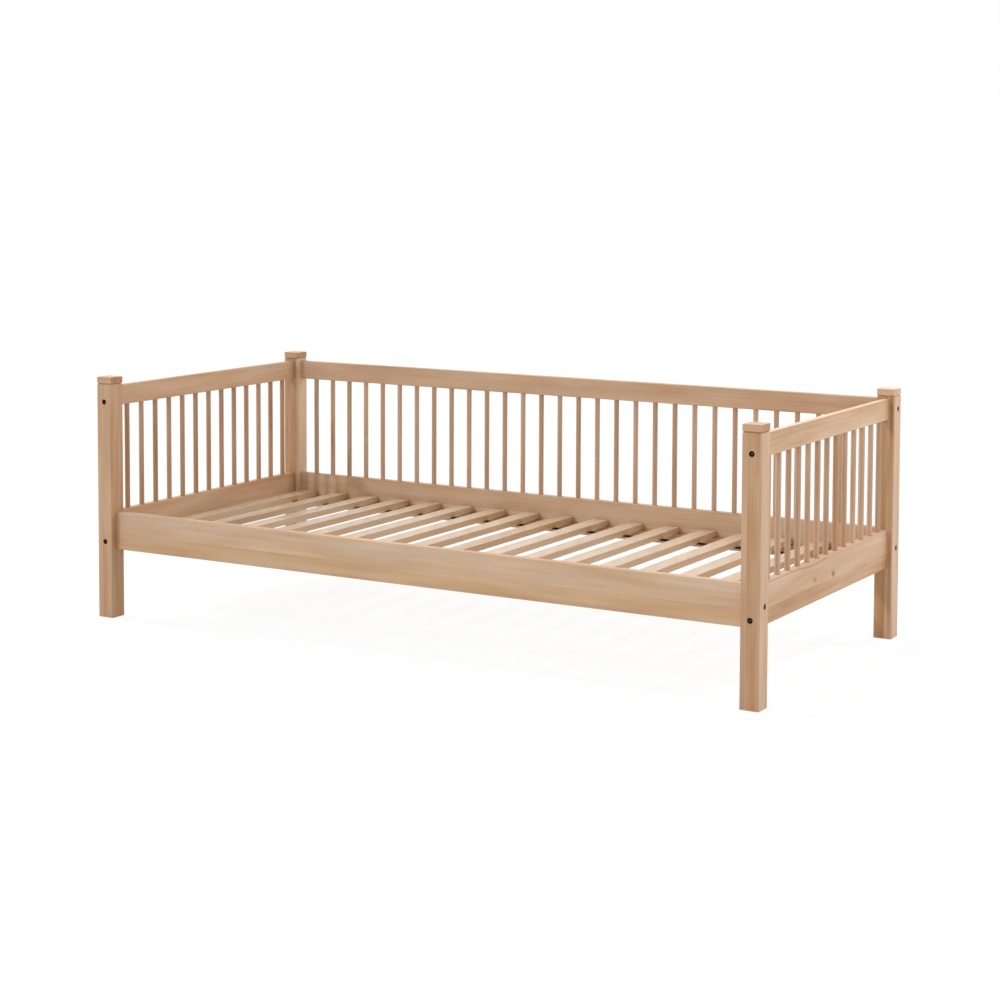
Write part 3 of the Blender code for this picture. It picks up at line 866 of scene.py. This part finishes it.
for kind, (strips, cuts) in RAIL_STRIPS.items():
    axis = Y if "end" in kind else X
    row = next((row for row in ROWS if kind.startswith(row)), None)
    lower = "top" not in kind
    node = f"{kind}_with_spindles" if lower and row else kind
    rail = make_rail(f"rail_{kind}", node, axis, LOWER_HEIGHT if lower else TOP_HEIGHT,
                     ROWS.get(row, ()), 1 if lower else -1)
    for cut in cuts:
        cut_round(rail, Z, cut)
    # The top of the right end gets a painted highlight, and the other narrow edges get painted shade.
    edge = PAINTED_HIGHLIGHT_EDGE if kind == "right_end_top_rail" else RAIL_EDGE_PAINTED_SHADE
    lay_grain(rail, (axis, Z, X if axis == Y else Y), strips, cuts, edge=edge)
    wood = knotty_beech if kind == "right_end_lower_rail" else oiled_beech
    hand_over(rail, wood, "frame", "beech", node)
    print(rail.name, len(rail.data.polygons), "faces")

# %% [markdown]
# ## Spindles
# A spindle is a plain 15 mm dowel with its ends broken, so that it slips into its sockets. One is
# turned and then copied 56 times, each copy cut from another place in the tree.

# %% Fifty six spindles
SPINDLE = 0.015
SPINDLE_END = 0.001
SPINDLE_SPREAD = 0.05
SPINDLE_WARMTH = (0.1, 0.5)
SPINDLE_TONE = {"left_end": 0.43, "right_end": 0.48, "back": 0.57}

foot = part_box("front_rail")[0].z + LOWER_HEIGHT - SOCKET[1] + SEAT
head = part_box("back_top_rail")[0].z + SOCKET[1] - SEAT
bpy.ops.object.select_all(action="DESELECT")
turned = rod(Vector((0, 0, foot)), Vector((0, 0, head)), SPINDLE)
bpy.ops.object.transform_apply(location=True, rotation=True, scale=True)
for end in (foot, head):
    ease(turned, SPINDLE_END, BROKEN, lies_at(Z, end))
for row, places in ROWS.items():
    for number, (x, y) in enumerate(places, start=1):
        spindle = copy_of(turned, f"spindle_{row}_{number:02d}", Matrix.Translation((x, y, 0)))
        tone = SPINDLE_TONE[row] + dice.uniform(-SPINDLE_SPREAD, SPINDLE_SPREAD)
        lay_grain(spindle, (Z, X, Y), ((tone, dice.uniform(*SPINDLE_WARMTH)),))
        hand_over(spindle, turned_beech, "frame", "beech", f"{row}_lower_rail_with_spindles")
    print(len(places), "spindles in the", row, "panel")
bpy.data.objects.remove(turned, do_unlink=True)

# %% [markdown]
# ## Bolts
# The bolt heads are small black discs sunk just below the face of the post, with a hexagon socket.
# One bolt is modelled upright from a disc: its underside is inset and extruded to the shank, then
# widened to the threaded sleeve. The socket is drilled with a six sided rod.

# %% One bolt
HEAD = (0.014, 0.004)
HEAD_RECESS = 0.0007
HEAD_ROUND = 0.0007
SHANK = 0.006
SLEEVE = 0.010
SLEEVE_START = 0.0543
SLEEVE_STOP = 0.0783
KEY_SIDES = 6
KEY_WIDTH = 0.005
HEXAGON = (KEY_WIDTH / math.cos(math.pi / KEY_SIDES), 0.0025)

top = Vector((0, 0, -HEAD_RECESS))
bpy.ops.object.select_all(action="DESELECT")
bolt = rod(top, top - UP * HEAD[1], HEAD[0])
bpy.ops.object.transform_apply(location=True, rotation=True, scale=True)
pick_faces(bolt, lambda face: face.normal.z < -FACING)
bpy.ops.mesh.inset(thickness=(HEAD[0] - SHANK) / 2)
bpy.ops.mesh.extrude_region_move(
    TRANSFORM_OT_translate={"value": (0, 0, HEAD_RECESS + HEAD[1] - SLEEVE_START)})
bpy.ops.mesh.extrude_region_move(TRANSFORM_OT_translate={"value": (0, 0, 0)})
bpy.ops.transform.resize(value=(SLEEVE / SHANK, SLEEVE / SHANK, 1))
bpy.ops.mesh.extrude_region_move(TRANSFORM_OT_translate={"value": (0, 0, SLEEVE_START - SLEEVE_STOP)})
bpy.ops.object.mode_set(mode="OBJECT")
ease(bolt, HEAD_ROUND, EASED, lies_at(Z, top.z))
work(bolt, [rod(top + UP * PAST, top - UP * HEXAGON[1], HEXAGON[0], KEY_SIDES)], "DIFFERENCE")
# The faces inside the socket take the lighter steel: wear, and a painted glint at the centre of the
# head.
wear_and_glint = bolt.data.attributes.new("wear_and_glint", "FLOAT", "FACE")
for face in bolt.data.polygons:
    below = top.z - face.center.z
    in_socket = face.center.xy.length < HEXAGON[0] / 2 and MERGED < below < HEXAGON[1] + MERGED
    wear_and_glint.data[face.index].value = 1.0 if in_socket else 0.0
print("a bolt has", len(bolt.data.polygons), "faces")

# %% Fourteen bolts
for node, joint in joints.items():
    turn = joint["outward"].to_track_quat("Z", "Y").to_matrix().to_4x4()
    place = Matrix.Translation(joint["face"]) @ turn
    twin = copy_of(bolt, node.replace("bolt_", "socket_bolt_"), place)
    hand_over(twin, black_steel, "frame", "black_steel", node)
bpy.data.objects.remove(bolt, do_unlink=True)
print(len(joints), "bolts are in their counterbores")

# %% [markdown]
# ## Ledgers
# A square strip is glued along the inside of each long rail and carries the ends of the slats. It
# is sawn and eased as the rails are, and its ends stop short of the posts.

# %% Two ledgers
LEDGER_EASE = 0.0015
# The ledgers take a darker tone than the rest of the beech: painted shade for their place under the
# slats.
LEDGER_PAINTED_SHADE = (0.28, 0.6)

for place in ("front", "back"):
    low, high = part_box(f"{place}_ledger")
    ledger = saw_block(f"ledger_strip_{place}", low, high)
    ease(ledger, LEDGER_EASE, EASED, along(X))
    for end in (low.x, high.x):
        ease(ledger, RAIL_END_EASE, BROKEN, lies_at(X, end))
    lay_grain(ledger, (X, Z, Y), (LEDGER_PAINTED_SHADE,))
    hand_over(ledger, oiled_beech, "frame", "beech", f"{place}_ledger")
    print(ledger.name, round((high.x - low.x) * METRE), "mm long")

# %% [markdown]
# ## Slats
# Seventeen planed slats lie across the bed with wide gaps. Their long edges are rounded just enough to
# spare a mattress, and their ends are cut square. The tops are painted pale and cool, as painted sheen,
# and the narrow edges and undersides are warmer. The legs of two staples go up into each from below. One
# slat is made and copied.

# %% Seventeen slats
# A staple is given by the width of its wire, the length of its crown and the thickness of the wire.
# The tones of the slats go from the left end of the bed to the right.
SLATS = 17
SLAT_ROUND = 0.0018
SLAT_END_EASE = 0.0008
STAPLE = (0.0016, 0.010, 0.0006)
STAPLE_LEG = 0.009
LEG_BORE = (0.0024, 0.0085)
LEG_BORE_SIDES = 8
SLAT_TONES = (0.65, 0.51, 0.65, 0.63, 0.66, 0.68, 0.61, 0.57, 0.44,
              0.61, 0.57, 0.63, 0.59, 0.60, 0.62, 0.56, 0.60)
# The tops keep little warmth while the edges and undersides take it, so the pale tops are painted sheen.
SLAT_WARMTH = (-0.5, -0.2)
SLAT_EDGE = (0.04, 1.2)
SLAT_UNDER = (-0.04, 1.0)

low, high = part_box("slat_01")
start = (low.x + high.x) / 2
planed = saw_block("planed", low, high)
ease(planed, SLAT_ROUND, EASED, along(Y))
for end in (low.y, high.y):
    ease(planed, SLAT_END_EASE, BROKEN, lies_at(Y, end))
bores = []
for place in ("front", "back"):
    for side in (-1, 1):
        y = line_of(f"{place}_strap", Y) + side * (STAPLE[1] - STAPLE[0]) / 2
        spot = Vector((start, y, low.z))
        bores.append(rod(spot - UP * PAST, spot + UP * LEG_BORE[1], LEG_BORE[0], LEG_BORE_SIDES))
work(planed, bores, "DIFFERENCE")
for number, x in enumerate(spread(SLATS, -start), start=1):
    slat = copy_of(planed, f"planed_slat_{number:02d}", Matrix.Translation((x - start, 0, 0)))
    strip = (SLAT_TONES[number - 1], dice.uniform(*SLAT_WARMTH))
    lay_grain(slat, (Y, X, Z), (strip,), edge=SLAT_EDGE, under=SLAT_UNDER)
    hand_over(slat, planed_beech, "slatted_base", "slat_beech", f"slat_{number:02d}")
bpy.data.objects.remove(planed, do_unlink=True)
print(SLATS, "slats,", round((high.x - low.x) * METRE), "mm wide")

# %% [markdown]
# ## Straps
# Two webbing straps under the slats keep them evenly apart and let the base roll up. A strap is
# flat where a staple holds it against a slat, and hangs a little between two slats. It is a grid
# with its free stretches lowered, thickened by a solidify modifier.

# %% Two straps
STRAP_SAG = 0.002
STEPS_PER_SLAT = 8

slat_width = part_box("slat_01")[1].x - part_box("slat_01")[0].x
pitch = -2 * start / (SLATS - 1)
for place in ("front", "back"):
    low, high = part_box(f"{place}_strap")
    bpy.ops.object.select_all(action="DESELECT")
    bpy.ops.mesh.primitive_grid_add(x_subdivisions=(SLATS - 1) * STEPS_PER_SLAT + 2, y_subdivisions=2,
                                    size=1, location=(low + high) / 2)
    strap = bpy.context.object
    strap.name = f"strap_{place}"
    strap.scale = (high.x - low.x, high.y - low.y, 1)
    bpy.ops.object.transform_apply(location=True, rotation=True, scale=True)
    for point in strap.data.vertices:
        from_slat = abs((point.co.x - start + pitch / 2) % pitch - pitch / 2)
        free = max(0, (from_slat - slat_width / 2) / (pitch / 2 - slat_width / 2))
        point.co.z -= STRAP_SAG * math.sin(free * math.pi / 2) ** 2
    modifier = strap.modifiers.new("thickness", "SOLIDIFY")
    modifier.thickness = high.z - low.z
    modifier.offset = 0
    bpy.ops.object.modifier_apply(modifier=modifier.name)
    hand_over(strap, webbing, "slatted_base", "webbing", f"{place}_strap")
    print(strap.name, round((high.x - low.x) * METRE), "mm long")

# %% [markdown]
# ## Staples
# One staple holds each strap to each slat. Its crown is a short flat wire under the strap, and the
# two legs are extruded up from the ends of the crown, through the cloth and into the wood.

# %% Thirty four staples
crown_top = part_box("front_strap")[0].z - SEAT
half = Vector((STAPLE[0] / 2, STAPLE[1] / 2, 0))
staple = saw_block("staple", -half - UP * STAPLE[2], half)
leg = half.y - STAPLE[2]
for side in (-1, 1):
    cut_round(staple, Y, side * leg)
    pick_faces(staple, lambda face: face.normal.z > FACING and face.calc_center_median().y * side > leg)
    bpy.ops.mesh.extrude_region_move(TRANSFORM_OT_translate={"value": (0, 0, STAPLE_LEG)})
    bpy.ops.object.mode_set(mode="OBJECT")
for place in ("front", "back"):
    y = line_of(f"{place}_strap", Y)
    row = [copy_of(staple, f"staples_{place}", Matrix.Translation((x, y, crown_top)))
           for x in spread(SLATS, -start)]
    hand_over(joined(row), black_steel, "slatted_base", "black_steel")
    print(len(row), "staples in the", place, "strap")
bpy.data.objects.remove(staple, do_unlink=True)

# %% [markdown]
# ## The size
# The size of the dressed model is printed, as that of the imported one was at the start.

# %% Sizes
low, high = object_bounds()
print("visual model:", [round(side, 4) for side in high - low], "m")
